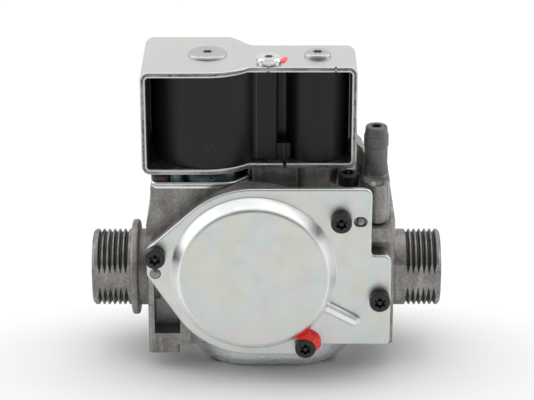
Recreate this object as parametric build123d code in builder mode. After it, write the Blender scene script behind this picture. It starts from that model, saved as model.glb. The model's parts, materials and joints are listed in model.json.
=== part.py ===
from build123d import *
import os
from math import acos, atan2, cos, hypot, pi, sin

os.makedirs("parts", exist_ok=True)

# Gas control valve with two solenoid coils, for a boiler. All sizes are in millimetres.
# Origin: centre of the inlet port's end face. +X runs along the gas flow, +Z is up, +Y is the rear.

# ---- ports: G 3/4 pipe thread, male, both ends ------------------------------------------------
body_length = 120.0
thread_radius = 13.22
thread_pitch = 1.814
thread_depth = 1.16
thread_land = 0.36
parting_strip = 6.0
parting_flat = 11.8
port_bore_radius = 9.0
port_chamfer = 0.8
inlet_bore_depth = 18.0
outlet_bore_depth = 16.0
collar_radius = 16.6
collar_start = 13.5
collar_end = 16.1
neck_radius = 13.3

# ---- body ---------------------------------------------------------------------------------------
body_left = 19.5
body_right = 103.5
body_front = -18.0
body_rear = 22.0
body_bottom = -21.0
left_deck = 37.5
right_deck = 34.3
tower_deck = 38.8
tower_right = 101.3
tower_rear = -3.5
tower_foot = 102.4
column_left = 54.9
column_right = 70.7
column_front = -12.6
pocket_depth = 7.8
wall_ribs_at = (36.0, 50.0, 76.0, 90.0)
nipple_x = 96.8
nipple_y = -9.6
nipple_top = 56.1
blind_hole_x = 97.1

# ---- regulator chamber and its pressed cover, on the front ---------------------------------------
cover_x = 55.74
cover_z = 9.2
cover_radius = 30.6
cover_sheet = 1.5
cover_front = -26.0
cover_right = 95.1
lobe_right = 101.9
lobe_top = 15.8
lobe_bottom = -17.5
lug_left = 19.8
lug_low = 8.4
lug_high = 17.9
dome_base_radius = 27.75
dome_face_radius = 25.0
dome_height = 4.5
channel_width = 4.2
channel_height = 2.0
flange_front = cover_front + cover_sheet
regulator_chamber_radius = 26.0
regulator_floor = -18.5
regulator_diaphragm_radius = 28.5
diaphragm_sheet = 0.8
cover_screws_at = [(22.8, 16.0), (84.8, 28.9), (98.1, 0.1), (73.2, -17.3)]
locating_pins = [(22.7, 9.2, 1.75), (91.3, 28.1, 1.3)]
pin_slot = (4.6, 3.6)
cover_edge_round = 0.7
flange_lip = 1.6

# ---- servo diaphragm housing, underneath ---------------------------------------------------------
servo_x = 61.9
servo_y = 4.3
servo_half_width = 27.4
servo_half_depth = 24.0
servo_corner = 19.5
servo_bottom = -29.9
servo_chamber_radius = 19.5
servo_diaphragm_radius = 22.0
servo_screw_x = 19.0
servo_screw_y = 16.0

# ---- coils, yoke and the two plunger valves --------------------------------------------------------
ev1_x = 40.3
ev1_y = 0.0
ev2_x = 77.1
ev2_y = -1.5
yoke_left = 18.4
yoke_right = 90.2
yoke_bottom = 42.0
yoke_top = 78.0
yoke_sheet = 2.0
yoke_wide_half = 19.0
yoke_narrow_front = -13.2
yoke_narrow_back = 10.0
yoke_joint = (65.5, 66.7)
coil_bottom = yoke_bottom + yoke_sheet + 0.2
coil_top = yoke_top - yoke_sheet - 0.2
coil1_radius = 18.5
coil2_radius = 10.6
web_left = 56.8
web_right = 63.8
web_front = -10.3
yoke_screw_x = 60.8
yoke_screw_y = -8.6
ev1_stroke = 2.5
ev1_screws_at = [(24.6, -15.2), (24.6, 15.2), (50.5, 15.2)]
ev1_pole_radius = 14.0
ev2_flange_radius = 10.3
flange_sheet = 2.0
flange_top = left_deck + flange_sheet
barb_radius = 4.15
blind_hole_radius = 1.25
ev2_stroke = 1.5
ev1_tube_inner = 6.0
ev1_tube_outer = 6.5
ev2_tube_inner = 3.9
ev2_tube_outer = 4.3
running_gap = 0.06
servo_screws_at = [
    (servo_x + i * servo_screw_x, servo_y + j * servo_screw_y) for i in (-1, 1) for j in (-1, 1)
]
ev1_seat = 0.0
ev2_seat = 27.5

screw_head_radius = 3.5
screw_head_height = 4.0
screw_shank_radius = 1.5


def finish(builder, name):
    """Label a finished piece and write it as one STEP file."""
    builder.part.label = name
    export_step(builder.part, f"parts/{name}.step")


def at(x, y, z, direction=(0, 0, 1)):
    """Plane at a point, whose normal is the given direction."""
    return Plane(origin=(x, y, z), z_dir=direction)


def tangent_point(x, z, radius, side):
    """Point where the line from (x, z) touches the cover's circle; side is +1 above, -1 below."""
    dx, dz = x - cover_x, z - cover_z
    angle = atan2(dz, dx) % (2 * pi) - side * acos(radius / hypot(dx, dz))
    return cover_x + radius * cos(angle), cover_z + radius * sin(angle)


def round_corners(sketch, corners):
    """Round the sketch's corners; corners is a list of (x, y, radius)."""
    for x, y, radius in corners:
        fillet(sketch.vertices().sort_by_distance((x, y, 0))[0], radius)


def plate_outline(sketch, inset):
    """Outline shared by the cover and the body's front flange: a disc with a lug and a panel."""
    r = cover_radius - inset
    left, right, lobe = lug_left + inset, cover_right - inset, lobe_right - inset
    top, foot = cover_z + r, cover_z - r
    step, floor = lobe_top - inset, lobe_bottom + inset
    lug = cover_screws_at[3][0] + 4.2 - inset
    corners = [(left, lug_high - inset), (left, lug_low + inset)]
    Polygon(
        tangent_point(*corners[0], r, 1),
        *corners,
        tangent_point(*corners[1], r, -1),
        (cover_x, cover_z),
        (cover_x, foot),
        (lug, foot),
        (lug, floor),
        (lobe, floor),
        (lobe, step),
        (right, step),
        (right, top),
        (cover_x, top),
        (cover_x, cover_z + 1),
        align=None,
    )
    round_corners(
        sketch,
        [(left, lug_high - inset, 2.0), (left, lug_low + inset, 2.0), (lug, foot, 3.9 - inset),
         (lobe, floor, 1.5), (lobe, step, 2.7), (right, step, 1.0), (right, top, 2.7)],
    )
    with Locations((cover_x, cover_z)):
        Circle(r)


def servo_outline(inset):
    """Rounded square of the servo diaphragm housing, drawn in the current sketch."""
    with Locations((servo_x, servo_y)):
        width, depth = 2 * (servo_half_width - inset), 2 * (servo_half_depth - inset)
        RectangleRounded(width, depth, servo_corner - inset)


def disc(x, y, low, high, outer, inner=0.0):
    """Upright disc or ring, added to the current part."""
    with BuildSketch(Plane.XY.offset(low)) as ring:
        with Locations((x, y)):
            Circle(outer)
            if inner:
                Circle(inner, mode=Mode.SUBTRACT)
    extrude(ring.sketch, amount=high - low)


def drill(x, y, low, high, radius):
    """Upright round hole, cut from the current part."""
    with BuildSketch(Plane.XY.offset(low)) as hole:
        with Locations((x, y)):
            Circle(radius)
    extrude(hole.sketch, amount=high - low, mode=Mode.SUBTRACT)


def front_disc(x, z, front, back, outer, inner=0.0, mode=Mode.ADD):
    """Disc or ring whose axis runs front to back, added to or cut from the current part."""
    with BuildSketch(Plane.XZ.offset(-front)) as ring:
        with Locations((x, z)):
            Circle(outer)
            if inner:
                Circle(inner, mode=Mode.SUBTRACT)
    extrude(ring.sketch, amount=front - back, mode=mode)


def block(left, right, front, back, low, high, corner=0.0, mode=Mode.ADD):
    """Upright block with rounded upright edges, added to or cut from the current part."""
    with BuildSketch(Plane.XY.offset(low)) as footprint:
        with Locations(((left + right) / 2, (front + back) / 2)):
            if corner:
                RectangleRounded(right - left, back - front, corner)
            else:
                Rectangle(right - left, back - front)
    extrude(footprint.sketch, amount=high - low, mode=mode)


def turned(x, y, z, direction, points, mode=Mode.ADD):
    """Turned shape added to or cut from the current part; points are (radius, height) from the centre."""
    axis = Vector(*direction)
    across = Vector(0, 0, 1) if abs(axis.Z) < 0.5 else Vector(1, 0, 0)
    side = Plane(origin=(x, y, z), x_dir=across, z_dir=across.cross(axis))
    with BuildSketch(side) as profile:
        Polygon(*points, align=None)
    revolve(profile.sketch, axis=Axis((x, y, z), direction), mode=mode)


def coil_spring(start, direction, length, radius, wire, turns):
    """Open coil spring, added to the current part, with its wire just inside both ends."""
    first = Vector(*start) + Vector(*direction) * wire
    with BuildLine() as helix:
        Helix((length - 2 * wire) / turns, length - 2 * wire, radius, first, direction)
    with BuildSketch(Plane(origin=helix.line @ 0, z_dir=helix.line % 0)) as section:
        Circle(wire)
    sweep(section.sketch, path=helix.wires()[0], is_frenet=True)


def groove_rings(first, count):
    """Ring grooves of a pipe thread, the first at x = first, broken at the casting's rear parting strip."""
    mouth = (thread_pitch - thread_land) / 2
    with BuildPart() as rings:
        with BuildSketch(Plane.XZ) as profile:
            for k in range(count):
                x = first + k * thread_pitch
                Polygon(
                    (x - mouth, thread_radius + 0.02),
                    (x - 0.12, thread_radius - thread_depth),
                    (x + 0.12, thread_radius - thread_depth),
                    (x + mouth, thread_radius + 0.02),
                    align=None,
                )
        revolve(profile.sketch, axis=Axis.X)
        with Locations((first + count * thread_pitch / 2, 0, 0)):
            Box(2 * count * thread_pitch, 2 * thread_radius, parting_strip, mode=Mode.SUBTRACT,
                align=(Align.CENTER, Align.MIN, Align.CENTER))
    return rings.part


# ---- body: one die casting with both ports -----------------------------------------------------------
inlet_wall = collar_start - port_chamfer
inlet_grooves = groove_rings(port_chamfer + inlet_wall / 2 - 2.5 * thread_pitch, 6)
outlet_wall = body_length - port_chamfer - body_right
outlet_grooves = groove_rings(body_right + outlet_wall / 2 - 1.5 * thread_pitch, 6)

with BuildPart() as valve_body:
    # main casting: lower block, left tower under the large coil, column for the yoke screw
    block(body_left, body_right, body_front, body_rear, body_bottom, 24.0, 2.0)
    block(30.0, 98.0, body_front, body_rear - 2.5, 24.0, right_deck, 2.0)
    block(body_left, 56.0, body_front - 1.0, 19.5, -6.0, 24.0, 2.0)
    with BuildSketch(Plane.XZ.offset(-19.5)):
        Polygon((body_left, 20), (body_left, 24), (21.2, 32), (21.2, left_deck), (56, left_deck), (56, 20),
                align=None)
    extrude(amount=19.5 - body_front + 1.0)
    block(column_left, column_right, column_front, 0.0, 30.0, yoke_bottom, 1.0)
    drill(ev2_x, ev2_y, right_deck, yoke_bottom + 1, ev2_flange_radius + 0.1)
    # servo housing plinth
    with BuildSketch(Plane.XY.offset(body_bottom)):
        servo_outline(0.0)
    extrude(amount=7.0)
    # front flange: follows the cover, with the round regulator chamber behind it
    with BuildSketch(Plane.XZ.offset(-flange_front)) as flange:
        plate_outline(flange, 0.5)
    extrude(amount=flange_front - body_front)
    with BuildSketch(Plane.XZ.offset(-flange_front - flange_lip)):
        with Locations(((cover_x + 97) / 2, right_deck + 5)):
            Rectangle(97 - cover_x, 10)
        with Locations((cover_x, cover_z)):
            Circle(cover_radius - 0.5, mode=Mode.SUBTRACT)
    extrude(amount=flange_front + flange_lip - body_front, mode=Mode.SUBTRACT)
    # left wall and foot
    block(body_left, 30.0, body_front - 1.0, -6.0, -24.0, -6.0, 1.2)
    block(29.0, 34.0, body_front - 1.0, -6.0, body_bottom, -6.0)
    pocket_floor = body_front - 1.0 + pocket_depth
    block(21.6, 30.4, body_front - 2.0, pocket_floor, -16.6, 4.0, 0.8, mode=Mode.SUBTRACT)
    # right tower with the hose nipple and the blind screw hole in front of it
    block(92.6, tower_right, body_front, tower_rear, 20.0, tower_deck, 2.0)
    with BuildSketch(Plane.XZ.offset(-tower_rear - 2.0)):
        Polygon((97, 19), (tower_foot, 19), (tower_right, 32), (97, 32), align=None)
    extrude(amount=tower_rear - body_front)
    block(94.4, tower_foot, -23.6, body_front + 2, 19.8, 24.6, 1.0)
    disc(blind_hole_x, body_front - 0.4, 25.5, tower_deck, 3.0)
    with BuildSketch(Plane.XZ.offset(2.0)):
        Polygon((90.8, 30), (96.2, 30), (96.2, 36), (94.2, 41), (92.6, 45), (90.8, 46.6), align=None)
    extrude(amount=-10.0)
    with BuildSketch(Plane.XZ.offset(-nipple_y)):
        with Locations((nipple_x, 0)):
            Polygon((0, tower_deck - 1), (4.6, tower_deck - 1), (3.9, 43.0), (3.9, 48.9), (barb_radius, 49.3),
                    (barb_radius, 53.0), (barb_radius - 0.25, 53.1), (barb_radius - 0.3, 53.9),
                    (3.6, nipple_top - 0.2), (3.3, nipple_top), (0, nipple_top), align=None)
    revolve(axis=Axis((nipple_x, nipple_y, 0), (0, 0, 1)))
    # ribs that stiffen the rear wall
    with BuildSketch(Plane.XY.offset(body_bottom + 7.0)):
        for x in wall_ribs_at:
            with Locations((x, body_rear)):
                Rectangle(2.4, 3.0)
    extrude(amount=30.0)
    # ports
    with BuildSketch(Plane.XZ):
        with BuildLine():
            Polyline((0, 0), (0, thread_radius - port_chamfer), (port_chamfer, thread_radius),
                     (collar_start, thread_radius), (collar_start, collar_radius - 0.9))
            RadiusArc((collar_start, collar_radius - 0.9), (collar_start + 0.9, collar_radius), 0.9)
            Line((collar_start + 0.9, collar_radius), (collar_end - 0.9, collar_radius))
            RadiusArc((collar_end - 0.9, collar_radius), (collar_end, collar_radius - 0.9), 0.9)
            Polyline((collar_end, collar_radius - 0.9), (collar_end, neck_radius),
                     (body_left + 4, neck_radius), (body_left + 4, 0), (0, 0))
        make_face()
    revolve(axis=Axis.X)
    with BuildSketch(Plane.XZ):
        Polygon((body_right - 8, 0), (body_right - 8, thread_radius),
                (body_length - port_chamfer, thread_radius), (body_length, thread_radius - port_chamfer),
                (body_length, 0), align=None)
    revolve(axis=Axis.X)
    add(inlet_grooves, mode=Mode.SUBTRACT)
    add(outlet_grooves, mode=Mode.SUBTRACT)
    # the front parting flat, shallower than the thread, so that its grooves run out to points
    for start, end in ((-1.0, collar_start), (body_right, body_length + 1)):
        block(start, end, -collar_radius, -parting_flat, -8.0, 8.0, mode=Mode.SUBTRACT)
    # gas way: inlet bore, filter seat, passage to the first valve's chamber
    with BuildSketch(Plane.XZ):
        Polygon((-1, 0), (-1, port_bore_radius), (inlet_bore_depth, port_bore_radius), (inlet_bore_depth, 8.6),
                (24, 8.6), (24, 7.9), (31, 7.9), (31, 0), align=None)
    revolve(axis=Axis.X, mode=Mode.SUBTRACT)
    drill(ev1_x, ev1_y, ev1_seat - 3, left_deck + 1, 11.0)
    disc(ev1_x, ev1_y, ev1_seat - 3.5, ev1_seat, 8.0)
    drill(ev1_x, ev1_y, -9.0, ev1_seat + 1, 6.5)
    block(33.8, 46.0, -6.5, 6.5, -14.5, -8.0, mode=Mode.SUBTRACT)
    drill(servo_x, servo_y, body_bottom - 1, -9.5, servo_chamber_radius)
    drill(servo_x, servo_y, -10, 14.0, 8.2)
    with BuildSketch(Plane.XZ):
        Polygon((servo_x + 3, 0), (servo_x + 3, 7.4), (body_length - outlet_bore_depth, 7.4),
                (body_length - outlet_bore_depth, port_bore_radius), (body_length + 1, port_bore_radius),
                (body_length + 1, 0), align=None)
    revolve(axis=Axis.X, mode=Mode.SUBTRACT)
    # small valve's chamber and the pilot passage under its seat
    drill(ev2_x, ev2_y, 25.5, right_deck + 1, 5.0)
    disc(ev2_x, ev2_y, 25.0, ev2_seat, 2.2)
    drill(ev2_x, ev2_y, 13.0, ev2_seat + 1, 0.9)
    # regulator chamber, diaphragm ledge, spring pocket and stem guide
    front_disc(cover_x, cover_z, flange_front - 1, flange_front + diaphragm_sheet,
               regulator_diaphragm_radius, mode=Mode.SUBTRACT)
    front_disc(cover_x, cover_z, flange_front, regulator_floor, regulator_chamber_radius, mode=Mode.SUBTRACT)
    front_disc(cover_x, cover_z, regulator_floor - 0.5, -12.5, 7.0, mode=Mode.SUBTRACT)
    front_disc(cover_x, cover_z, -13.0, -9.5, 1.3, mode=Mode.SUBTRACT)
    # screw and pin holes of the front cover
    for x, z in cover_screws_at:
        front_disc(x, z, flange_front - 1, flange_front + 7, screw_shank_radius, mode=Mode.SUBTRACT)
    for x, z, radius in locating_pins:
        front_disc(x, z, flange_front - 1, flange_front + 4, radius, mode=Mode.SUBTRACT)
    # screw holes from below, for the servo cover
    for x, y in servo_screws_at:
        drill(x, y, body_bottom - 1, body_bottom + 6, screw_shank_radius)
    # screw holes from above: yoke screw, small valve's flange, large valve's flange
    drill(yoke_screw_x, yoke_screw_y, 30.0, yoke_bottom + 1, screw_shank_radius)
    for dx, dy in ((10.5, -10.7), (-10.5, 10.7)):
        drill(ev2_x + dx, ev2_y + dy, right_deck - 7, right_deck + 1, screw_shank_radius)
    for x, y in ev1_screws_at:
        drill(x, y, left_deck - 7, left_deck + 1, screw_shank_radius)
    # groove for the sealing ring of the large valve
    with BuildSketch(Plane.XY.offset(left_deck - 1.4)):
        with Locations((ev1_x, ev1_y)):
            Circle(14.2)
            Circle(12.2, mode=Mode.SUBTRACT)
    extrude(amount=2.0, mode=Mode.SUBTRACT)
    # blind screw hole and hose nipple bore
    drill(blind_hole_x, body_front - 0.4, tower_deck - 8, tower_deck + 1, blind_hole_radius)
    countersink = [(0, -1.2), (1.2, -1.2), (2.4, 0.1), (0, 0.1)]
    turned(blind_hole_x, body_front - 0.4, tower_deck, (0, 0, 1), countersink, Mode.SUBTRACT)
    drill(nipple_x, nipple_y, 42.0, nipple_top + 1, 1.7)
    # rear: two pressure test nipples and the flow adjuster's housing
    for x in (28.5, 97.0):
        front_disc(x, 0, body_rear - 2, body_rear + 10, 4.5)
        front_disc(x, 0, 5.0, body_rear + 2, 1.0, mode=Mode.SUBTRACT)
        front_disc(x, 0, body_rear + 1.9, body_rear + 11, 1.7, mode=Mode.SUBTRACT)
    front_disc(84.0, 0, body_rear - 2, body_rear + 4, 6.0)
    front_disc(84.0, 0, 5.0, body_rear + 5, 3.3, mode=Mode.SUBTRACT)
finish(valve_body, "valve_body")


def star_recess(x, y, z, direction, size, depth, pin):
    """Six-lobed recess with a centre pin, cut into the current part from the given centre."""
    with BuildSketch(at(x, y, z, direction)) as recess:
        Circle(size * 0.8)
        with PolarLocations(size * 0.82, 6):
            Circle(size * 0.24)
        if pin:
            Circle(size * 0.36, mode=Mode.SUBTRACT)
    extrude(recess.sketch, amount=-depth, mode=Mode.SUBTRACT)


def security_screw(x, y, z, direction, shank):
    """Round-headed security screw, seated at the given centre, its shank running the other way."""
    edge, top = 0.5, screw_head_height
    turned(x, y, z, direction, [
        (0, -shank), (screw_shank_radius, -shank), (screw_shank_radius, 0), (screw_head_radius, 0),
        (screw_head_radius, top - edge), (screw_head_radius - edge, top), (0, top),
    ])
    head_top = Vector(x, y, z) + Vector(*direction) * top
    star_recess(*tuple(head_top), direction, 1.9, 2.0, True)


# ---- front cover: pressed sheet with a raised dome and an air channel -------------------------------
dome_front = cover_front - dome_height
channel_end = Vector(89.7, -8.05)
channel_start = Vector(79.6, -2.5)
channel_middle = (channel_start + channel_end) / 2

with BuildPart() as front_cover:
    with BuildSketch(Plane.XZ.offset(-cover_front)) as sheet:
        plate_outline(sheet, 0.0)
    extrude(amount=-cover_sheet)
    fillet(edges().group_by(Axis.Y)[0], cover_edge_round)
    with BuildSketch(Plane.XZ.offset(-cover_front)):
        SlotCenterPoint(channel_middle, channel_end, channel_width)
    extrude(amount=channel_height)
    fillet(edges().group_by(Axis.Y)[0], channel_height - 0.1)
    with BuildSketch(Plane(origin=(cover_x, 0, cover_z), x_dir=(1, 0, 0), z_dir=(0, 0, 1))) as dome:
        Polygon(
            (0, flange_front), (0, dome_front), (dome_face_radius, dome_front), (dome_base_radius, cover_front),
            (dome_base_radius + 0.5, cover_front), (dome_base_radius + 0.5, flange_front), align=None,
        )
        round_corners(dome, [(dome_face_radius, dome_front, 1.9), (dome_base_radius, cover_front, 0.7)])
    revolve(axis=Axis((cover_x, 0, cover_z), (0, 1, 0)))
    with BuildSketch(Plane.XZ.offset(-flange_front)):
        SlotCenterPoint(channel_middle, channel_end, 1.6)
    extrude(amount=cover_sheet + 0.4, mode=Mode.SUBTRACT)
    with BuildSketch(Plane(origin=(cover_x, 0, cover_z), x_dir=(1, 0, 0), z_dir=(0, 0, -1))):
        Polygon(
            (0, -flange_front - 1), (0, -dome_front - 1.2), (dome_face_radius - 1.3, -dome_front - 1.2),
            (dome_base_radius - 2.3, -cover_front + 0.8), (dome_base_radius - 2.1, -flange_front - 1),
            align=None,
        )
    revolve(axis=Axis((cover_x, 0, cover_z), (0, 1, 0)), mode=Mode.SUBTRACT)
    for x, z in cover_screws_at:
        front_disc(x, z, cover_front - 1, flange_front + 1, screw_shank_radius + 0.15, mode=Mode.SUBTRACT)
    x, z, radius = locating_pins[0]
    front_disc(x, z, cover_front - 1, flange_front + 1, radius + 0.15, mode=Mode.SUBTRACT)
    with BuildSketch(Plane.XZ.offset(-flange_front)):
        with Locations(locating_pins[1][:2]):
            SlotOverall(*pin_slot)
    extrude(amount=cover_sheet + 1, mode=Mode.SUBTRACT)
finish(front_cover, "front_cover")

with BuildPart() as cover_screws:
    for x, z in cover_screws_at:
        security_screw(x, cover_front, z, (0, -1, 0), 8.0)
finish(cover_screws, "cover_screws")

with BuildPart() as cover_pins:
    for x, z, radius in locating_pins:
        turned(x, flange_front, z, (0, -1, 0), [
            (0, -4), (radius, -4), (radius, 1.5), (radius - 0.3, 1.9), (radius - 0.8, 2.2), (0, 2.3)])
finish(cover_pins, "cover_pins")

# ---- regulator: diaphragm, plates, stem, spring and threaded spring seat ---------------------------
with BuildPart() as regulator_diaphragm:
    front_disc(cover_x, cover_z, flange_front, flange_front + diaphragm_sheet, regulator_diaphragm_radius, 1.6)
finish(regulator_diaphragm, "regulator_diaphragm")

with BuildPart() as regulator_front_plate:
    front_disc(cover_x, cover_z, flange_front - 0.8, flange_front, 16.0, 1.2)
finish(regulator_front_plate, "regulator_front_plate")

plate_back = flange_front + diaphragm_sheet + 1.2
with BuildPart() as regulator_rear_plate:
    front_disc(cover_x, cover_z, flange_front + diaphragm_sheet, plate_back, 18.0, 1.2)
finish(regulator_rear_plate, "regulator_rear_plate")

with BuildPart() as regulator_stem:
    turned(cover_x, 0, cover_z, (0, -1, 0), [
        (0, 10.8), (0.6, 10.8), (1.2, 12.0), (1.2, -flange_front + 0.8), (2.4, -flange_front + 0.8),
        (2.4, -flange_front + 1.8), (0, -flange_front + 1.8),
    ])
finish(regulator_stem, "regulator_stem")

with BuildPart() as regulator_spring_seat:
    front_disc(cover_x, cover_z, -14.3, -12.5, 6.9, 1.6)
    for side in (-1, 1):
        with BuildSketch(Plane.XZ.offset(14.3)):
            with Locations((cover_x + side * 4.6, cover_z)):
                Rectangle(3.0, 1.2)
        extrude(amount=-0.9, mode=Mode.SUBTRACT)
finish(regulator_spring_seat, "regulator_spring_seat")

with BuildPart() as regulator_spring:
    coil_spring((cover_x, -14.3, cover_z), (0, -1, 0), -14.3 - plate_back, 3.0, 0.35, 5)
finish(regulator_spring, "regulator_spring")

# ---- servo diaphragm housing and the main valve that it lifts ----------------------------------------
with BuildPart() as servo_cover:
    with BuildSketch(Plane.XY.offset(servo_bottom)):
        servo_outline(0.0)
    extrude(amount=body_bottom - servo_bottom)
    fillet(edges().group_by(Axis.Z)[0], 4.0)
    drill(servo_x, servo_y, body_bottom - diaphragm_sheet, body_bottom + 1, servo_diaphragm_radius)
    drill(servo_x, servo_y, servo_bottom + 1.5, body_bottom, servo_chamber_radius)
    for x, y in servo_screws_at:
        drill(x, y, servo_bottom - 1, body_bottom + 1, screw_shank_radius + 0.1)
        drill(x, y, servo_bottom - 1, body_bottom - 3.0, 2.8)
finish(servo_cover, "servo_cover")

with BuildPart() as servo_cover_screws:
    for x, y in servo_screws_at:
        z = body_bottom - 3.0
        turned(x, y, z, (0, 0, -1), [
            (0, -8), (1.5, -8), (1.5, 0), (2.6, 0), (2.6, 2), (2.1, 2.5), (0, 2.5)])
        star_recess(x, y, z - 2.5, (0, 0, -1), 1.5, 1.4, False)
finish(servo_cover_screws, "servo_cover_screws")

diaphragm_top = body_bottom
diaphragm_low = body_bottom - diaphragm_sheet
with BuildPart() as servo_diaphragm:
    disc(servo_x, servo_y, diaphragm_low, diaphragm_top, servo_diaphragm_radius, 2.4)
finish(servo_diaphragm, "servo_diaphragm")

with BuildPart() as servo_upper_plate:
    disc(servo_x, servo_y, diaphragm_top, diaphragm_top + 1.0, 14.0, 2.0)
finish(servo_upper_plate, "servo_upper_plate")

with BuildPart() as servo_lower_plate:
    disc(servo_x, servo_y, diaphragm_low - 1.0, diaphragm_low, 14.0, 2.0)
finish(servo_lower_plate, "servo_lower_plate")

main_seat = -4.0
with BuildPart() as main_valve_stem:
    turned(servo_x, servo_y, 0, (0, 0, 1), [
        (0, diaphragm_low - 2.0), (3.2, diaphragm_low - 2.0), (3.2, diaphragm_low - 1.0),
        (2.0, diaphragm_low - 1.0), (2.0, main_seat + 3.5), (0, main_seat + 3.5),
    ])
finish(main_valve_stem, "main_valve_stem")

with BuildPart() as main_valve_seat:
    turned(servo_x, servo_y, 0, (0, 0, 1), [
        (5.0, -11.0), (10.0, -11.0), (10.0, -9.5), (8.2, -9.5), (8.2, main_seat - 1.0),
        (6.3, main_seat - 1.0), (5.7, main_seat), (5.0, main_seat),
    ])
finish(main_valve_seat, "main_valve_seat")

with BuildPart() as main_valve_seal:
    disc(servo_x, servo_y, main_seat, main_seat + 1.5, 6.8, 2.0)
finish(main_valve_seal, "main_valve_seal")

with BuildPart() as main_valve_disc:
    disc(servo_x, servo_y, main_seat + 1.5, main_seat + 3.5, 7.1, 2.0)
finish(main_valve_disc, "main_valve_disc")

with BuildPart() as main_valve_spring:
    coil_spring((servo_x, servo_y, main_seat + 3.5), (0, 0, 1), 14.0 - main_seat - 3.5, 5.0, 0.5, 6)
finish(main_valve_spring, "main_valve_spring")

# ---- large valve (ev1): flange, guide tube, plunger, stem, disc, seal and spring ----------------------
with BuildPart() as ev1_flange:
    with BuildSketch(Plane.XY.offset(left_deck)) as flange_plan:
        Polygon((21.5, -19.5), (48.2, -19.5), (54.7, -11.8), (54.7, 19.5), (21.5, 19.5), align=None)
        round_corners(flange_plan, [(48.2, -19.5, 6.0), (54.7, -11.8, 4.0), (54.7, 19.5, 8.0),
                                    (21.5, -19.5, 2.5), (21.5, 19.5, 2.5)])
        with Locations((ev1_x, ev1_y)):
            Circle(6.4, mode=Mode.SUBTRACT)
        with Locations(*ev1_screws_at):
            Circle(screw_shank_radius + 0.1, mode=Mode.SUBTRACT)
    extrude(amount=flange_sheet)
    fillet(faces().sort_by(Axis.Z)[-1].outer_wire().edges(), 0.45)
    front_disc(cover_x, cover_z, flange_front, body_front + 0.1, cover_radius, mode=Mode.SUBTRACT)
finish(ev1_flange, "ev1_flange")

with BuildPart() as ev1_flange_screws:
    for x, y in ev1_screws_at:
        turned(x, y, flange_top, (0, 0, 1), [
            (0, -8), (1.5, -8), (1.5, 0), (3.2, 0), (3.2, 1.5), (2.6, 2.2), (0, 2.2)])
        star_recess(x, y, flange_top + 2.2, (0, 0, 1), 1.6, 1.2, False)
finish(ev1_flange_screws, "ev1_flange_screws")

with BuildPart() as ev1_sealing_ring:
    disc(ev1_x, ev1_y, left_deck - 1.4, left_deck, 14.1, 12.3)
finish(ev1_sealing_ring, "ev1_sealing_ring")

with BuildPart() as ev1_pole_ring:
    disc(ev1_x, ev1_y, flange_top, yoke_bottom, ev1_pole_radius, ev1_tube_outer)
finish(ev1_pole_ring, "ev1_pole_ring")

with BuildPart() as ev1_guide_tube:
    disc(ev1_x, ev1_y, flange_top, yoke_top - yoke_sheet - 0.1, ev1_tube_outer, ev1_tube_inner)
finish(ev1_guide_tube, "ev1_guide_tube")

ev1_core_low = 60.0
with BuildPart() as ev1_fixed_core:
    disc(ev1_x, ev1_y, ev1_core_low, yoke_top - yoke_sheet, ev1_tube_inner)
    drill(ev1_x, ev1_y, yoke_top - yoke_sheet - 8, yoke_top, 2.0)
finish(ev1_fixed_core, "ev1_fixed_core")

with BuildPart() as ev1_top_screw:
    turned(ev1_x, ev1_y, yoke_top, (0, 0, 1), [
        (0, -9.5), (2.0, -9.5), (2.0, 0), (6.6, 0), (6.6, 0.3), (6.3, 0.7), (5.7, 1.0), (0, 1.0)])
    star_recess(ev1_x, ev1_y, yoke_top + 1.0, (0, 0, 1), 1.7, 1.4, False)
finish(ev1_top_screw, "ev1_top_screw")

plunger_low = 41.5
with BuildPart() as ev1_plunger:
    disc(ev1_x, ev1_y, plunger_low, ev1_core_low - ev1_stroke, ev1_tube_inner - running_gap)
finish(ev1_plunger, "ev1_plunger")

with BuildPart() as ev1_stem:
    disc(ev1_x, ev1_y, ev1_seat, plunger_low, 2.5)
finish(ev1_stem, "ev1_stem")

with BuildPart() as ev1_seal:
    disc(ev1_x, ev1_y, ev1_seat, ev1_seat + 1.2, 9.2, 2.5)
finish(ev1_seal, "ev1_seal")

with BuildPart() as ev1_valve_disc:
    disc(ev1_x, ev1_y, ev1_seat + 1.2, ev1_seat + 3.2, 9.4, 2.5)
finish(ev1_valve_disc, "ev1_valve_disc")

with BuildPart() as ev1_spring:
    coil_spring((ev1_x, ev1_y, ev1_seat + 3.2), (0, 0, 1), left_deck - ev1_seat - 3.2, 7.6, 0.6, 9)
finish(ev1_spring, "ev1_spring")

# ---- small pilot valve (ev2) --------------------------------------------------------------------------
ev2_screws_at = [(ev2_x + dx, ev2_y + dy) for dx, dy in ((10.5, -10.7), (-10.5, 10.7))]
ev2_flange_top = right_deck + flange_sheet
with BuildPart() as ev2_flange:
    with BuildSketch(Plane.XY.offset(right_deck)):
        SlotCenterPoint((ev2_x, ev2_y), ev2_screws_at[0], 7.2)
        with Locations(*ev2_screws_at):
            Circle(screw_shank_radius + 0.1, mode=Mode.SUBTRACT)
    extrude(amount=flange_sheet)
    disc(ev2_x, ev2_y, right_deck, yoke_bottom, ev2_flange_radius)
    drill(ev2_x, ev2_y, right_deck - 1, yoke_bottom + 1, ev2_tube_outer)
finish(ev2_flange, "ev2_flange")

with BuildPart() as ev2_flange_screws:
    for x, y in ev2_screws_at:
        security_screw(x, y, ev2_flange_top, (0, 0, 1), 8.0)
finish(ev2_flange_screws, "ev2_flange_screws")

with BuildPart() as ev2_guide_tube:
    disc(ev2_x, ev2_y, right_deck, yoke_top - yoke_sheet - 0.1, ev2_tube_outer, ev2_tube_inner)
finish(ev2_guide_tube, "ev2_guide_tube")

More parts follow.
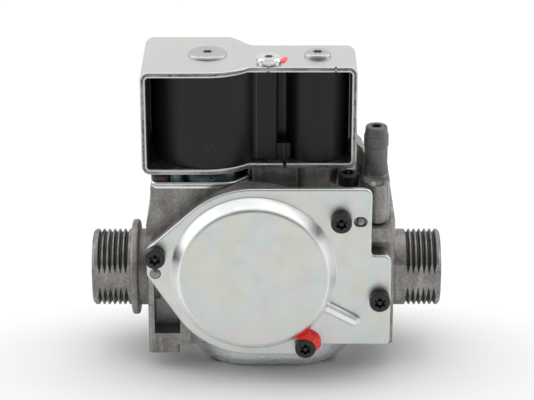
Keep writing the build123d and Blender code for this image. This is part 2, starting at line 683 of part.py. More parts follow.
ev2_core_low = 61.5
with BuildPart() as ev2_fixed_core:
    disc(ev2_x, ev2_y, ev2_core_low, yoke_top - yoke_sheet, ev2_tube_inner)
    drill(ev2_x, ev2_y, yoke_top - yoke_sheet - 8, yoke_top, 1.5)
finish(ev2_fixed_core, "ev2_fixed_core")

with BuildPart() as ev2_top_screw:
    turned(ev2_x, ev2_y, yoke_top, (0, 0, 1), [
        (0, -9.5), (1.5, -9.5), (1.5, 0), (4.4, 0), (4.4, 0.7), (4.1, 1.2), (3.6, 1.5), (0, 1.5)])
    star_recess(ev2_x, ev2_y, yoke_top + 1.5, (0, 0, 1), 1.7, 1.6, False)
finish(ev2_top_screw, "ev2_top_screw")

with BuildPart() as ev2_plunger:
    disc(ev2_x, ev2_y, ev2_seat + 2.0, ev2_core_low - ev2_stroke, ev2_tube_inner - running_gap)
    drill(ev2_x, ev2_y, 52.0, ev2_core_low, 2.2)
finish(ev2_plunger, "ev2_plunger")

with BuildPart() as ev2_seal:
    disc(ev2_x, ev2_y, ev2_seat, ev2_seat + 2.0, 3.0)
finish(ev2_seal, "ev2_seal")

with BuildPart() as ev2_spring:
    coil_spring((ev2_x, ev2_y, 52.0), (0, 0, 1), ev2_core_low - 52.0, 1.5, 0.25, 7)
finish(ev2_spring, "ev2_spring")

# ---- yoke: bent steel band round both coils, wide at the large coil and narrow at the small one --------
arc_end = ev1_x + (yoke_wide_half ** 2 - yoke_narrow_front ** 2) ** 0.5
arc_middle = (ev1_x + yoke_wide_half * sin(0.4), -yoke_wide_half * cos(0.4))
step_back = (46.8, 56.0)
with BuildPart() as coil_yoke:
    with BuildSketch(Plane.XZ):
        with Locations(((yoke_left + yoke_right) / 2, (yoke_top + yoke_bottom) / 2)):
            RectangleRounded(yoke_right - yoke_left, yoke_top - yoke_bottom, 3.0)
            RectangleRounded(
                yoke_right - yoke_left - 2 * yoke_sheet,
                yoke_top - yoke_bottom - 2 * yoke_sheet,
                1.0,
                mode=Mode.SUBTRACT,
            )
    extrude(amount=yoke_wide_half, both=True)
    with BuildSketch(Plane.XY.offset(yoke_bottom - 1)):
        with BuildLine():
            Line((yoke_left - 1, -yoke_wide_half), (ev1_x, -yoke_wide_half))
            ThreePointArc((ev1_x, -yoke_wide_half), arc_middle, (arc_end, yoke_narrow_front))
            Line((arc_end, yoke_narrow_front), (yoke_right + 1, yoke_narrow_front))
            Line((yoke_right + 1, yoke_narrow_front), (yoke_right + 1, yoke_narrow_back))
            Line((yoke_right + 1, yoke_narrow_back), (step_back[1], yoke_narrow_back))
            Bezier((step_back[1], yoke_narrow_back), (step_back[1] - 3.7, yoke_narrow_back + 4.6),
                   (step_back[0] + 2.9, yoke_wide_half), (step_back[0], yoke_wide_half))
            Line((step_back[0], yoke_wide_half), (yoke_left - 1, yoke_wide_half))
            Line((yoke_left - 1, yoke_wide_half), (yoke_left - 1, -yoke_wide_half))
        make_face()
    extrude(amount=yoke_top - yoke_bottom + 2, mode=Mode.INTERSECT)
    # closing joint of the band in the lower plate, and relief cuts in the upper plate's front edge
    block(*yoke_joint, -20.0, 20.0, yoke_bottom - 1, yoke_bottom + yoke_sheet + 1, mode=Mode.SUBTRACT)
    for x in (60.4, 82.6):
        block(x, x + 0.5, yoke_narrow_front - 1, yoke_narrow_front + 1.4, yoke_top - 3, yoke_top + 1,
              mode=Mode.SUBTRACT)
    drill(ev1_x, ev1_y, yoke_bottom - 1, yoke_bottom + 3, ev1_tube_outer + 0.1)
    drill(ev2_x, ev2_y, yoke_bottom - 1, yoke_bottom + 3, ev2_tube_outer + 0.1)
    drill(ev1_x, ev1_y, yoke_top - 3, yoke_top + 1, 2.2)
    drill(ev2_x, ev2_y, yoke_top - 3, yoke_top + 1, 1.7)
    drill(yoke_screw_x, yoke_screw_y, yoke_bottom - 1, yoke_top + 1, screw_shank_radius + 0.1)
finish(coil_yoke, "coil_yoke")

with BuildPart() as yoke_screw:
    turned(yoke_screw_x, yoke_screw_y, yoke_top, (0, 0, 1), [
        (0, -46), (1.5, -46), (1.5, 0), (3.6, 0), (3.6, 0.8), (4.2, 1.0), (4.2, 1.8), (3.8, 2.2), (0, 2.2)])
    star_recess(yoke_screw_x, yoke_screw_y, yoke_top + 2.2, (0, 0, 1), 1.5, 1.5, False)
finish(yoke_screw, "yoke_screw")

# ---- coil moulding with both bobbins and windings, and the plug socket at the rear -----------------------
bobbin_top = coil_top - 1.3
inner_left = yoke_left + yoke_sheet + 0.2
inner_right = yoke_right - yoke_sheet - 0.2
with BuildPart() as coil_moulding:
    with BuildSketch(Plane.XY.offset(coil_bottom)):
        with Locations((ev1_x, ev1_y)):
            Circle(coil1_radius)
        with Locations((ev2_x, ev2_y)):
            Circle(coil2_radius)
    extrude(amount=coil_top - coil_bottom)
    block(50.0, web_right, web_front, 8.0, coil_bottom, coil_top, 1.6)
    block(inner_left, 52.0, 3.0, 17.5, coil_bottom, coil_top, 2.0)
    block(70.0, inner_right, 1.0, 8.6, coil_bottom, coil_top, 1.0)
    block(58.0, 72.0, -3.5, 7.0, coil_bottom, coil_top)
    block(63.0, 68.2, -9.4, 0.0, coil_bottom, coil_bottom + 5.6, 0.5)
    block(51.0, 71.0, 4.0, 26.0, 50.0, 67.0, 1.0)
    block(52.5, 69.5, 13.0, 27.0, 51.5, 65.5, mode=Mode.SUBTRACT)
    for x, y, core, shell in ((ev1_x, ev1_y, 6.8, 16.6), (ev2_x, ev2_y, 4.6, 9.2)):
        drill(x, y, coil_bottom - 1, bobbin_top, shell)
        drill(x, y, coil_bottom - 1, coil_top + 1, core)
    drill(yoke_screw_x, yoke_screw_y, coil_bottom - 1, coil_top + 1, screw_shank_radius + 0.1)
finish(coil_moulding, "coil_moulding")


def bobbin(x, y, core, shell, tube):
    """Winding former: thin tube between two end discs, added to the current part."""
    disc(x, y, coil_bottom, bobbin_top, tube, core)
    disc(x, y, coil_bottom, coil_bottom + 1.5, shell, core)
    disc(x, y, bobbin_top - 1.5, bobbin_top, shell, core)


with BuildPart() as ev1_bobbin:
    bobbin(ev1_x, ev1_y, 6.8, 16.6, 7.8)
finish(ev1_bobbin, "ev1_bobbin")

with BuildPart() as ev1_winding:
    disc(ev1_x, ev1_y, coil_bottom + 1.5, bobbin_top - 1.5, 15.9, 7.8)
finish(ev1_winding, "ev1_winding")

with BuildPart() as ev2_bobbin:
    bobbin(ev2_x, ev2_y, 4.6, 9.2, 5.4)
finish(ev2_bobbin, "ev2_bobbin")

with BuildPart() as ev2_winding:
    disc(ev2_x, ev2_y, coil_bottom + 1.5, bobbin_top - 1.5, 8.7, 5.4)
finish(ev2_winding, "ev2_winding")

with BuildPart() as terminal_pins:
    for k in range(4):
        x = 55.9 + k * 3.4
        block(x - 0.4, x + 0.4, 13.0, 20.5, 58.1, 58.9)
finish(terminal_pins, "terminal_pins")

# ---- inlet filter, test-point screws, flow adjuster ------------------------------------------------
with BuildPart() as inlet_filter:
    with BuildSketch(Plane.YZ.offset(20.0)):
        Circle(8.6)
        Circle(7.4, mode=Mode.SUBTRACT)
    extrude(amount=4.0)
    with BuildSketch(Plane.YZ.offset(22.0)):
        for k in range(-6, 7):
            with Locations((k * 1.15, 0)):
                Rectangle(0.35, 2 * (7.6 ** 2 - (k * 1.15) ** 2) ** 0.5)
            with Locations((0, k * 1.15)):
                Rectangle(2 * (7.6 ** 2 - (k * 1.15) ** 2) ** 0.5, 0.35)
    extrude(amount=0.5)
finish(inlet_filter, "inlet_filter")

for name, x in (("inlet_test_screw", 28.5), ("outlet_test_screw", 97.0)):
    with BuildPart() as test_screw:
        turned(x, body_rear + 2.2, 0, (0, 1, 0), [(0, 0), (0.9, 0), (1.62, 0.8), (1.62, 7.0), (0, 7.0)])
        block(x - 2, x + 2, body_rear + 8.0, body_rear + 10, -0.3, 0.3, mode=Mode.SUBTRACT)
    finish(test_screw, name)

with BuildPart() as flow_adjuster:
    turned(84.0, 5.0, 0, (0, 1, 0), [(0, 0), (1.2, 0), (3.22, 3.0), (3.22, 19.0), (0, 19.0)])
    block(80.0, 88.0, 22.6, 25.0, -0.5, 0.5, mode=Mode.SUBTRACT)
finish(flow_adjuster, "flow_adjuster")

with BuildPart() as flow_adjuster_cap:
    turned(84.0, body_rear + 4, 0, (0, 1, 0), [
        (0, -1.5), (3.3, -1.5), (3.3, 0), (6.2, 0), (6.2, 2.0), (5.6, 2.6), (0, 2.6)])
finish(flow_adjuster_cap, "flow_adjuster_cap")

# ---- red sealing lacquer on the lowest cover screw and beside the yoke screw ------------------------
with BuildPart() as cover_lacquer:
    lacquered_x, lacquered_z = cover_screws_at[3]
    front_disc(lacquered_x + 0.9, lacquered_z + 1.9, cover_front - 3.2, cover_front, 3.6)
    neighbours = [(lacquered_x, lacquered_z, screw_head_radius), (cover_x, cover_z, dome_base_radius + 0.5)]
    for x, z, radius in neighbours:
        front_disc(x, z, cover_front - 4, cover_front + 1, radius, mode=Mode.SUBTRACT)
finish(cover_lacquer, "cover_lacquer")

with BuildPart() as yoke_lacquer:
    disc(yoke_screw_x + 5.5, yoke_screw_y + 3.9, yoke_top, yoke_top + 0.4, 1.4)
finish(yoke_lacquer, "yoke_lacquer")
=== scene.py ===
import json
import math

import bmesh
import bpy
from mathutils import Matrix, Vector, noise


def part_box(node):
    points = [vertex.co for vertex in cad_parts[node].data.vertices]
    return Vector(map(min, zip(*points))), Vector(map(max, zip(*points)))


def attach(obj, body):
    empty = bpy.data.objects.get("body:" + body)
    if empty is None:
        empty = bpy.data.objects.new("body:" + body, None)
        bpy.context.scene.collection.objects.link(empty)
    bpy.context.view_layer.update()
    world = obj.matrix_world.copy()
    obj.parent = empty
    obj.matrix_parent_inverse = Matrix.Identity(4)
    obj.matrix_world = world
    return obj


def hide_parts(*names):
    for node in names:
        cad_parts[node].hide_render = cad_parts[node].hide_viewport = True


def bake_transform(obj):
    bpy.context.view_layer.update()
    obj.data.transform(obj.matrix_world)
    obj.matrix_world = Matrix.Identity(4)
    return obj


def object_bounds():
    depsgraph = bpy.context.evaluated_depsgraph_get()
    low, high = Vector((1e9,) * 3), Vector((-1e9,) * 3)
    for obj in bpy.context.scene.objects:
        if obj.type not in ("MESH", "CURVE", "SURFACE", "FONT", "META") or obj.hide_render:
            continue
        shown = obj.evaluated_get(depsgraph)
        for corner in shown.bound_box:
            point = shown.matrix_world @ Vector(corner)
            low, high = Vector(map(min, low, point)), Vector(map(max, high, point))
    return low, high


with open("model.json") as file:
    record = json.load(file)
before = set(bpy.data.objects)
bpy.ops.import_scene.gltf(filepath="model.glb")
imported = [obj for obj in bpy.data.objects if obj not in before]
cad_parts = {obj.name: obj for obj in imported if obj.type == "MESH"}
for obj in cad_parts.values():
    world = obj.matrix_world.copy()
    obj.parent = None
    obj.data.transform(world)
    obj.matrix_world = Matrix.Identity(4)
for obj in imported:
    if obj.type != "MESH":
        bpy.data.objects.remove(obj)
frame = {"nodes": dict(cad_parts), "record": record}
cad_low, cad_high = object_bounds()
nodes = frame["nodes"]
slot_of = {part["node"]: part["material_slot"] for part in frame["record"]["subparts"]}

# ---- places on the valve, in millimetres --------------------------------------------------------
MM = 0.001
VALVE_MIDDLE = 60.0                     # X, halfway between the ports
EV1_AXIS = (40.3, 0.0)                  # X, Y of the large coil
EV2_AXIS = (77.1, -1.5)                 # X, Y of the small coil
YOKE_SCREW = (60.8, -8.6)               # X, Y
RIM_FRONT = -26.0                       # Y of the flat rim of the front cover
DOME_CENTRE = Vector((55.74, 9.2))      # X, Z
DOME_FOOT = 27.75                       # radius where the dome's slope meets the rim
DOME_WIDTH, DOME_HEIGHT = 2.75, 4.5     # of that slope
BEAD_END = Vector((89.7, -8.05))        # X, Z of the channel pressed into the cover
BEAD_TURN = math.radians(-28.8)
SEALED_SCREW = Vector((73.2, -17.3))    # X, Z of the cover screw under lacquer
SCREW_HEAD = 3.5                        # its head's radius

# ---- camera: in front of the valve and 23 degrees above it --------------------------------------
CAMERA_ELEVATION = 22.8

camera = bpy.data.objects.new("camera", bpy.data.cameras.new("camera"))
camera.data.sensor_width = 36.0
camera.data.lens = 136.85
camera.data.clip_start = 0.01
camera.location = (0.060175, -0.64465, 0.29611)
camera.rotation_euler = (math.radians(90 - CAMERA_ELEVATION), 0, 0)
bpy.context.scene.collection.objects.link(camera)
bpy.context.scene.camera = camera
bpy.context.scene.view_settings.view_transform = "Standard"


# ---- materials ----------------------------------------------------------------------------------
def add_node(tree, kind, inputs, **settings):
    """A shader node with its settings, and a socket linked or a value set for each input."""
    made = tree.nodes.new("ShaderNode" + kind)
    for key, value in settings.items():
        setattr(made, key, value)
    for key, value in inputs.items():
        if isinstance(value, bpy.types.NodeSocket):
            tree.links.new(value, made.inputs[key])
        else:
            made.inputs[key].default_value = value
    return made.outputs


class Finish:
    """A procedural material, with short calls for the nodes that it is made of.

    Places are object coordinates in metres, so a noise scale of 1000 has marks about 1 mm wide.
    """

    def __init__(self, name, **fixed):
        self.material = bpy.data.materials.new(name)
        self.material.use_nodes = True
        self.tree = self.material.node_tree
        self.shader = self.tree.nodes["Principled BSDF"]
        self.place = self.tree.nodes.new("ShaderNodeTexCoord").outputs["Object"]
        for socket, value in fixed.items():
            self.shader.inputs[socket.replace("_", " ")].default_value = value

    def node(self, kind, inputs, **settings):
        return add_node(self.tree, kind, inputs, **settings)

    def stretched(self, stretch=(1, 1, 1), turn=(0, 0, 0), move=(0, 0, 0)):
        """Places for a texture, drawn out, turned or moved."""
        return self.node("Mapping", {"Vector": self.place, "Location": move, "Rotation": turn,
                                     "Scale": stretch})["Vector"]

    def noise(self, scale, detail=3.0, roughness=0.55, place=None, distortion=0.0):
        return self.node("TexNoise", {"Vector": place or self.place, "Scale": scale,
                                      "Detail": detail, "Roughness": roughness,
                                      "Distortion": distortion})["Fac"]

    def spread(self, value, low, high, new_low=0.0, new_high=1.0):
        return self.node("MapRange", {"Value": value, "From Min": low, "From Max": high,
                                      "To Min": new_low, "To Max": new_high})["Result"]

    def vary(self, texture, low, high):
        """A noise texture, which lies mostly between 0.3 and 0.7, brought to the given range."""
        return self.spread(texture, 0.3, 0.7, low, high)

    def smooth(self, value, start, end):
        """0 at start and 1 at end, with a soft change between them."""
        return self.node("MapRange", {"Value": value, "From Min": start, "From Max": end},
                         interpolation_type="SMOOTHSTEP")["Result"]

    def axes(self):
        return self.node("SeparateXYZ", {0: self.place})

    def facing(self):
        """X, Y and Z of the surface's own direction."""
        return self.node("SeparateXYZ", {0: self.node("TexCoord", {})["Normal"]})

    def maths(self, operation, a, b=0.0):
        return self.node("Math", {0: a, 1: b}, operation=operation)["Value"]

    def product(self, first, *others):
        for other in others:
            first = self.maths("MULTIPLY", first, other)
        return first

    def size_of(self, value):
        return self.maths("ABSOLUTE", value)

    def off(self, value, place):
        """Distance of a coordinate from a place in millimetres."""
        return self.size_of(self.maths("SUBTRACT", value, place * MM))

    def reach(self, a, b):
        """Distance from the origin of two coordinates."""
        both = self.node("CombineXYZ", {0: a, 1: b})[0]
        return self.node("VectorMath", {0: both}, operation="LENGTH")["Value"]

    def step(self, value, start, end):
        """smooth, with its ends in millimetres."""
        return self.smooth(value, start * MM, end * MM)

    def inside(self, *ranges, soft=0.3):
        """1 within a box, 0 outside it; each range is (coordinate, low, high) in millimetres."""
        return self.product(*[self.step(value, edge, edge + way) for value, low, high in ranges
                              for edge, way in ((low, soft), (high, -soft))])

    def ramp(self, value, *stops):
        made = self.tree.nodes.new("ShaderNodeValToRGB")
        self.tree.links.new(value, made.inputs["Fac"])
        band = made.color_ramp
        while len(band.elements) < len(stops):
            band.elements.new(0.5)
        for element, (position, colour) in zip(band.elements, stops):
            element.position = position
            element.color = (*colour, 1.0)
        return made.outputs["Color"]

    def mix(self, factor, a, b):
        """From colour a at 0 to colour b at 1."""
        first, second = (value if isinstance(value, bpy.types.NodeSocket) else (*value, 1.0)
                         for value in (a, b))
        return self.node("Mix", {0: factor, 6: first, 7: second}, data_type="RGBA")[2]

    def bump(self, height, distance, strength=1.0, under=None):
        inputs = {"Height": height, "Distance": distance, "Strength": strength}
        if under is not None:
            inputs["Normal"] = under
        return self.node("Bump", inputs)["Normal"]

    def set(self, **sockets):
        for name, value in sockets.items():
            self.tree.links.new(value, self.shader.inputs[name.replace("_", " ")])
        return self.material


def grey(level, warmth=0.0):
    """Grey of the given linear level; warmth above 0 leans to yellow, below 0 to blue."""
    return (level * (1 + warmth), level, level * (1 - 1.6 * warmth))


def scaled(colour, factor):
    return tuple(factor * part for part in colour)


def cast_metal():
    """Die-cast aluminium: mottled skin with flow streaks, painted shade in the thread grooves and
    the left wall's pocket, and a darker nipple.
    """
    f = Finish("cast_aluminium", Metallic=0.8)
    x, y, z = f.axes()
    mottle = f.noise(110, 4, 0.6)
    grain = f.noise(1500, 2, 0.6)
    streaks = f.noise(260, 3, 0.6, f.stretched((1.0, 1.0, 0.10)))
    colour = f.ramp(mottle, (0.3, (0.20, 0.190, 0.180)), (0.5, (0.335, 0.322, 0.308)),
                    (0.72, (0.50, 0.485, 0.465)))
    colour = f.mix(f.spread(streaks, 0.54, 0.72, 0, 0.6), colour, (0.66, 0.64, 0.61))
    colour = f.mix(f.spread(grain, 0.35, 0.7, 0.4, 0.0), colour, (0.07, 0.068, 0.065))
    # painted shade in the thread grooves: near both ends, below the crests, but not on the front
    # flats
    from_middle = f.off(x, VALVE_MIDDLE)
    groove_painted_shade = f.product(f.step(f.reach(y, z), 13.15, 12.2), f.step(from_middle, 43.6, 44.2),
                       f.step(from_middle, 59.95, 59.8), f.step(y, -11.76, -11.6))
    colour = f.mix(f.product(groove_painted_shade, 0.85), colour, (0.048, 0.047, 0.046))
    # painted shade: the pocket in the left wall is tinted a little bluer than the skin, standing in
    # for the shade inside it
    recess_painted_shade = f.inside((x, 21.4, 30.6), (y, -18.9, -10.5), (z, -16.8, 9.0))
    colour = f.mix(f.product(recess_painted_shade, 0.3), colour, (0.35, 0.37, 0.41))
    # the hose nipple is darker than the rest
    nipple = f.inside((x, 91.0, 103.0), (y, -15.0, -4.0), (z, 39.5, 58.0))
    colour = f.mix(f.product(nipple, 0.68), colour, (0.075, 0.073, 0.070))
    sand = f.bump(grain, 0.00012, 0.6)
    return f.set(Base_Color=colour, Roughness=f.vary(mottle, 0.40, 0.58),
                 Normal=f.bump(f.noise(380, 3, 0.5), 0.0003, 0.6, sand))


def sheared_colour(f):
    """Dark torn steel with specks and patches of zinc."""
    specks = f.ramp(f.noise(1500, 3, 0.7), (0.36, (0.065, 0.07, 0.075)),
                    (0.66, (0.34, 0.345, 0.35)))
    patches = f.spread(f.noise(75, 2, 0.5), 0.50, 0.64, 0.0, 0.75)
    return f.mix(patches, specks, grey(0.50, -0.01))


def sheared_steel(name):
    """Torn middle of a sheet's cut edge."""
    f = Finish(name, Metallic=1.0)
    return f.set(Base_Color=sheared_colour(f), Roughness=f.vary(f.noise(900, 3), 0.42, 0.6),
                 Normal=f.bump(f.noise(2500, 2), 0.00005, 0.5))


def drawn_parts(f):
    """1 on the front cover's dome slope and on its raised channel, 0 elsewhere."""
    x, y, z = f.axes()
    radius = f.reach(f.maths("SUBTRACT", x, DOME_CENTRE.x * MM),
                     f.maths("SUBTRACT", z, DOME_CENTRE.y * MM))
    slope = f.product(f.smooth(f.size_of(f.facing()[1]), 0.97, 0.80),
                      f.step(radius, DOME_FOOT + 0.85, DOME_FOOT + 0.05))
    place = f.stretched(move=(-BEAD_END.x * MM, 0, -BEAD_END.y * MM))
    place = f.node("VectorRotate", {"Vector": place, "Angle": BEAD_TURN}, rotation_type="Y_AXIS")
    along, _, across = f.node("SeparateXYZ", {0: place[0]})
    channel = f.inside((along, -11.0, 2.1), (across, -2.1, 2.1), (y, -35.0, RIM_FRONT - 0.2))
    return f.maths("MAXIMUM", slope, channel)


def zinc_sheet(name, base, stain=0.5, rough=0.28, wave=1.0, cut=None, drawn=False):
    """Bright zinc-plated sheet with faint rainbow stains and fine scratches.

    cut is the height, in millimetres, of the dark line round a plate's sheared side faces. drawn
    paints a highlight on what is drawn out of the front cover, lighter than its flat parts, and
    makes it duller.
    """
    f = Finish(name, Metallic=1.0)
    cloud = f.noise(52, 2, 0.5, f.stretched((1, 1, 0.7), move=(0.3, 0.1, 0.2)), 0.8)
    tint = f.ramp(cloud, (0.30, (0.66, 0.62, 0.50)), (0.42, (0.62, 0.64, 0.56)),
                  (0.50, (0.55, 0.64, 0.66)), (0.58, (0.66, 0.60, 0.61)),
                  (0.70, (0.62, 0.65, 0.55)))
    colour = f.mix(stain, base, tint)
    spots = f.noise(420, 4, 0.7)
    colour = f.mix(f.spread(spots, 0.62, 0.8, 0, 0.35), colour, grey(0.45, -0.01))
    hairs = f.noise(260, 2, 0.5, f.stretched((0.03, 1, 2.2), (0, 0.06, 0), (0.11, 0, 0.02)))
    colour = f.mix(f.spread(hairs, 0.735, 0.78, 0, 0.45), colour, grey(0.30, -0.01))
    roughness = f.vary(f.noise(160, 4, 0.65), rough - 0.06, rough + 0.10)
    scratches = f.noise(900, 2, 0.6, f.stretched((0.05, 1, 1), (0, 0.5, 0)))
    dents = f.bump(f.noise(38, 1, 0.4), 0.0006 * wave, 0.6, f.bump(scratches, 0.00002, 0.35))
    if drawn:
        # painted highlight: the dome slope and the channel are lightened to near-white; the same
        # mask makes them duller
        painted_highlight_and_dull = drawn_parts(f)
        colour = f.mix(f.product(painted_highlight_and_dull, 0.85), colour, (0.95, 0.97, 0.98))
        roughness = f.maths("ADD", roughness, f.product(painted_highlight_and_dull, 0.10))
    if cut:
        shear = f.product(f.smooth(f.size_of(f.facing()[2]), 0.12, 0.03),
                          f.step(f.off(f.axes()[2], cut), 0.42, 0.22))
        colour = f.mix(f.product(shear, 0.9), colour, sheared_colour(f))
    return f.set(Base_Color=colour, Roughness=roughness, Normal=dents)


def black_metal(name, colour, rough=0.42, metallic=0.5):
    f = Finish(name, Metallic=metallic)
    wear = f.noise(900, 4, 0.7)
    shade = f.mix(f.spread(wear, 0.55, 0.8, 0, 0.6), colour, scaled(colour, 4))
    return f.set(Base_Color=shade, Roughness=f.vary(wear, rough - 0.08, rough + 0.12),
                 Normal=f.bump(wear, 0.00004, 0.4))


def plain_metal(name, colour, rough=0.25, wear_scale=700, stretch=(1, 1, 1)):
    f = Finish(name, Metallic=1.0)
    wear = f.noise(wear_scale, 4, 0.65, f.stretched(stretch))
    shade = f.mix(f.spread(wear, 0.4, 0.75, 0, 0.5), colour, scaled(colour, 0.55))
    return f.set(Base_Color=shade, Roughness=f.vary(wear, rough - 0.05, rough + 0.1),
                 Normal=f.bump(wear, 0.00002, 0.4))


def turned_metal(name, centre, colour):
    """Lathe-turned face: fine rings round an upright axis."""
    f = Finish(name, Metallic=1.0)
    place = f.stretched(move=(-centre[0], -centre[1], 0))
    rings = f.node("TexWave", {"Vector": place, "Scale": 900.0, "Distortion": 0.6, "Detail": 1.0,
                               "Detail Scale": 0.5}, wave_type="RINGS", rings_direction="Z")["Fac"]
    wear = f.noise(600, 4, 0.65)
    shade = f.mix(f.spread(wear, 0.45, 0.75, 0, 0.4), colour, scaled(colour, 0.6))
    shade = f.mix(f.product(rings, 0.25), shade, scaled(colour, 0.7))
    return f.set(Base_Color=shade, Roughness=f.vary(wear, 0.25, 0.4),
                 Normal=f.bump(rings, 0.00003, 0.5))


def moulded_plastic(name, colour, rough=0.36):
    """Black plastic: scuffed low down, with two moulding seams between the coils."""
    f = Finish(name, Metallic=0.0, IOR=1.38)
    x, y, z = f.axes()
    skin = f.noise(1300, 3, 0.6)
    flow = f.noise(70, 3, 0.5, f.stretched((1, 1, 0.4)))
    shade = f.mix(f.spread(flow, 0.35, 0.7, 0, 1), colour, scaled(colour, 1.6))
    specks = f.noise(2200, 2, 0.5)
    shade = f.mix(f.spread(specks, 0.68, 0.78, 0, 0.35), shade, scaled(colour, 4))
    scuffs = f.product(f.spread(f.noise(150, 5, 0.7), 0.60, 0.72, 0, 1), f.step(z, 66, 48))
    shade = f.mix(f.product(scuffs, 0.5), shade, grey(0.05))
    for line in (56.7, 65.8):
        seam = f.product(f.step(f.off(x, line), 0.22, 0.08), f.step(y, -3, -3.4))
        shade = f.mix(f.product(seam, 0.5), shade, grey(0.10))
    return f.set(Base_Color=shade, Roughness=f.vary(flow, rough - 0.05, rough + 0.08),
                 Normal=f.bump(skin, 0.00003, 0.5))


def rubber(name, colour):
    f = Finish(name, Metallic=0.0, IOR=1.5)
    dust = f.noise(800, 4, 0.7)
    shade = f.mix(f.spread(dust, 0.4, 0.75, 0, 0.7), colour, scaled(colour, 2.2))
    return f.set(Base_Color=shade, Roughness=f.vary(dust, 0.55, 0.75),
                 Normal=f.bump(dust, 0.00005, 0.5))


def wound_wire(name):
    f = Finish(name, Metallic=1.0)
    turns = f.node("TexWave", {"Vector": f.place, "Scale": 700.0, "Distortion": 0.3,
                               "Detail": 1.0}, wave_type="BANDS", bands_direction="Z")["Fac"]
    colour = f.ramp(turns, (0.1, (0.22, 0.07, 0.03)), (0.8, (0.72, 0.28, 0.12)))
    return f.set(Base_Color=colour, Roughness=f.vary(f.noise(500), 0.25, 0.4),
                 Normal=f.bump(turns, 0.0002, 0.8))


def lacquer(name):
    f = Finish(name, Metallic=0.0, IOR=1.45, Coat_Weight=0.2, Coat_Roughness=0.08)
    cloud = f.noise(420, 3, 0.5)
    colour = f.ramp(cloud, (0.3, (0.85, 0.015, 0.010)), (0.65, (1.0, 0.035, 0.02)))
    return f.set(Base_Color=colour, Roughness=f.vary(cloud, 0.2, 0.35),
                 Normal=f.bump(f.noise(600, 2), 0.0001, 0.4))


finishes = {
    "cast_aluminium": cast_metal(),
    "zinc_plate": zinc_sheet("zinc_plate", (0.67, 0.69, 0.66), 0.45, 0.38, drawn=True),
    # painted light: the cup's zinc is lighter than the other zinc sheets, to make up for the shaded
    # floor it reflects
    "zinc_cup": zinc_sheet("zinc_cup", (0.80, 0.83, 0.86), 0.15, 0.24, wave=0.4),
    "zinc_yoke": zinc_sheet("zinc_yoke", (0.60, 0.60, 0.585), 0.25, 0.30, wave=0.5),
    "black_screw": black_metal("black_screw", (0.030, 0.030, 0.032), 0.36, 0.6),
    "brown_screw": black_metal("brown_screw", (0.055, 0.035, 0.026), 0.42, 0.6),
    "bright_steel": plain_metal("bright_steel", (0.78, 0.78, 0.77), 0.2),
    "satin_steel": plain_metal("satin_steel", (0.52, 0.52, 0.51), 0.42, 1600),
    "plated_screw": plain_metal("plated_screw", (0.72, 0.73, 0.72), 0.22),
    "black_moulding": moulded_plastic("black_moulding", (0.0045, 0.0045, 0.005), 0.34),
    "bobbin_plastic": moulded_plastic("bobbin_plastic", (0.03, 0.03, 0.032), 0.45),
    "copper_wire": wound_wire("copper_wire"),
    "brass": plain_metal("brass", (0.72, 0.55, 0.25), 0.28),
    "diaphragm_rubber": rubber("diaphragm_rubber", (0.03, 0.03, 0.03)),
    "spring_steel": plain_metal("spring_steel", (0.5, 0.5, 0.5), 0.3),
    "red_lacquer": lacquer("red_lacquer"),
}
own_finish = {
    "ev1_flange": zinc_sheet("zinc_flange", (0.68, 0.69, 0.69), 0.10, 0.20, 0.3, cut=38.55),
    # painted shade: the pole ring's dark bluish colour stands in for the shade under the yoke
    "ev1_pole_ring": plain_metal("dark_steel_painted_shade", (0.17, 0.235, 0.265), 0.14, 300, (1, 1, 0.2)),
    "cover_pins": plain_metal("worn_pin", (0.34, 0.34, 0.33), 0.5, 1500),
}


def dress(piece, finish):
    piece.data.materials.clear()
    piece.data.materials.append(finish)


for name, node in nodes.items():
    if name in own_finish:
        dress(node, own_finish[name])
    elif slot_of[name] == "turned_steel":
        low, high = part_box(name)
        dress(node, turned_metal(f"turned_{name}", (low + high) / 2, (0.80, 0.77, 0.75)))
    else:
        dress(node, finishes[slot_of[name]])


def add_piece(name, mesh, node, smooth_below=30, squashed=None):
    """A mesh that stands for a CAD node: in its slot, with its finish unless it has its own.

    squashed, for a piece that a joint shortens, is (moving body, fixed end, moving end); a piece
    with it stays in place unattached, and the values in it are not used.
    """
    mesh.shade_smooth()
    mesh.set_sharp_from_angle(angle=math.radians(smooth_below))
    piece = bpy.data.objects.new(name, mesh)
    bpy.context.scene.collection.objects.link(piece)
    if not mesh.materials:
        dress(piece, finishes[slot_of[node]])
    if squashed:
        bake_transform(piece)
    else:
        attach(piece, "body")
    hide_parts(node)


# ---- the coils' yoke: one sheet bent round them, with rolled and sheared edges -------------------
yoke_low, yoke_high = (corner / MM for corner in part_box("coil_yoke"))
CORNER = 3.0                            # outer bend radius
COIL_X = EV1_AXIS[0]
WIDE = yoke_high.y                      # half width over the large coil
NARROW_FRONT, NARROW_BACK = -13.2, 10.0
S_START, S_LENGTH = 46.8, 9.2           # X, where the rear edge steps in
JOINT = (65.5, 66.7)                    # X of the gap where the band's ends meet underneath
SLITS = (60.4, 82.6)                    # X of the slits in the top's front edge
SLIT_WIDTH, SLIT_DEPTH = 0.5, 1.4
# section of an edge: (depth from the outer face, distance behind the edge)
EDGE = ((0.0, 1.3), (0.03, 0.62), (0.10, 0.30), (0.22, 0.11), (0.36, 0.03), (0.50, 0.0),
        (1.32, 0.04), (1.62, 0.0), (1.80, 0.06), (1.92, 0.20), (2.0, 0.5))
TORN = 5                                # the section's face that is torn, not rolled


def front_limit(x):
    """The front edge: wide over the large coil, stepped in by an arc beside it."""
    if x < COIL_X:
        return -WIDE
    return min(-math.sqrt(max(WIDE ** 2 - (x - COIL_X) ** 2, 0.0)), NARROW_FRONT)


def back_limit(x):
    """The rear edge, stepped in by a soft S."""
    t = min(max((x - S_START) / S_LENGTH, 0.0), 1.0)
    return WIDE + (NARROW_BACK - WIDE) * t * t * (3 - 2 * t)


